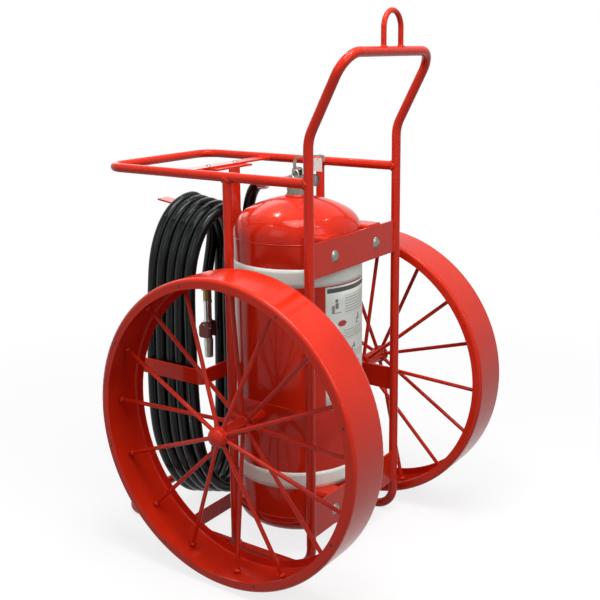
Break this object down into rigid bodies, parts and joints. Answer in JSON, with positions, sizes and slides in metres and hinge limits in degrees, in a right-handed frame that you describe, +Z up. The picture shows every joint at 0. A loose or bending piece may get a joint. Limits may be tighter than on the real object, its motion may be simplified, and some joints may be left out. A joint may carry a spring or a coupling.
{
  "type": "wheeled fire extinguisher",
  "caption": "Pressure cylinder on a bent-tube hand cart with two large spoked wheels, an operating valve, and a coiled hose ending in a shut-off nozzle.",
  "frame": {"origin": "middle of the footprint, on the floor the cart stands on", "axes": "+Z up; -Y towards the operator's handle, +Y towards the hose; X along the wheel axle"},
  "size_m": [0.954, 1.0741, 1.651],
  "materials": {
    "aluminium": "brushed",
    "black_rubber": "smooth black cover",
    "brass": "dull brass",
    "bright_zinc": "zinc plated",
    "bronze": "sintered bronze",
    "chrome": "polished chrome",
    "clear": "clear window",
    "clear_plastic": "thin plastic tie",
    "cylinder_paint": "glossy red enamel",
    "dial_white": "printed plain dial",
    "needle_black": "matt black",
    "powder": "fine dry powder",
    "red_paint": "glossy red enamel",
    "red_plastic": "moulded red",
    "spring_steel": "spring wire",
    "tag_card": "white card"
  },
  "bodies": {
    "cart": {"agent_charge": "powder", "axle_cotters": "bright_zinc", "axle_plates": "red_paint", "axle_washers": "bright_zinc", "bumper_rail": "red_paint", "crossbar_bolts": "bright_zinc", "crossbar_nuts": "bright_zinc", "cylinder_shell": "cylinder_paint", "dip_tube": "aluminium", "frame_tube_left": "red_paint", "frame_tube_right": "red_paint", "front_posts": "red_paint", "gauge_case": "chrome", "gauge_dial": "dial_white", "gauge_lens": "clear", "hose_bottom_bar": "red_paint", "hose_coil": "black_rubber", "hose_cradle": "red_paint", "hose_crossbar": "red_paint", "hose_hook": "red_paint", "hose_lead": "black_rubber", "hose_strap": "red_paint", "hose_tail": "black_rubber", "lever_pivot_pin": "chrome", "lifting_eye": "red_paint", "lower_cross_plate": "red_paint", "lower_lugs": "cylinder_paint", "mounting_bolts": "bright_zinc", "mounting_nuts": "bright_zinc", "neck_collar": "chrome", "nozzle_body": "chrome", "nozzle_coupling": "brass", "nozzle_tip": "aluminium", "outlet_coupling": "chrome", "outlet_pipe": "chrome", "spindle_left": "red_paint", "spindle_right": "red_paint", "upper_cross_plate": "red_paint", "upper_lugs": "cylinder_paint", "valve_body": "brass", "valve_spring": "spring_steel"},
    "wheel_left": {"wheel_rim_left": "red_paint", "wheel_spokes_left": "red_paint", "wheel_hub_left": "red_paint", "hub_cap_left": "red_paint", "wheel_bushes_left": "bronze"},
    "wheel_right": {"wheel_rim_right": "red_paint", "wheel_spokes_right": "red_paint", "wheel_hub_right": "red_paint", "hub_cap_right": "red_paint", "wheel_bushes_right": "bronze"},
    "lever": {"valve_lever": "chrome", "inspection_tag": "tag_card", "tag_loop": "clear_plastic"},
    "stem": {"valve_stem": "brass"},
    "pull_pin": {"pull_pin": "chrome"},
    "needle": {"gauge_needle": "needle_black"},
    "shutoff": {"shutoff_handle": "red_plastic", "shutoff_ball": "brass"}
  },
  "joints": [
    {"name": "wheel_left_spin", "type": "hinge", "parent": "cart", "child": "wheel_left", "pos_m": [-0.39, -0.07985, 0.4706], "axis": [1, 0, 0], "continuous": true},
    {"name": "wheel_right_spin", "type": "hinge", "parent": "cart", "child": "wheel_right", "pos_m": [0.39, -0.07985, 0.4706], "axis": [1, 0, 0], "continuous": true},
    {"name": "lever_swing", "type": "hinge", "parent": "cart", "child": "lever", "pos_m": [0, -0.04445, 1.174], "axis": [-1, 0, 0], "range_deg": [0, 75]},
    {"name": "stem_slide", "type": "slide", "parent": "cart", "child": "stem", "axis": [0, 0, -1], "range_m": [0, 0.005], "deforming": ["valve_spring"]},
    {"name": "pull_pin_slide", "type": "slide", "parent": "cart", "child": "pull_pin", "axis": [-1, 0, 0], "range_m": [0, 0.04]},
    {"name": "gauge_needle_turn", "type": "hinge", "parent": "cart", "child": "needle", "pos_m": [0, -0.11085, 1.149], "axis": [0, -1, 0], "range_deg": [-110, 70]},
    {"name": "shutoff_turn", "type": "hinge", "parent": "cart", "child": "shutoff", "pos_m": [0.085, 0.40415, 0.596], "axis": [1, 0, 0], "range_deg": [0, 90]}
  ],
  "couplings": [
    {"joint": "stem_slide", "follows": "lever_swing", "m_per_rad": 0.0038197}
  ]
}
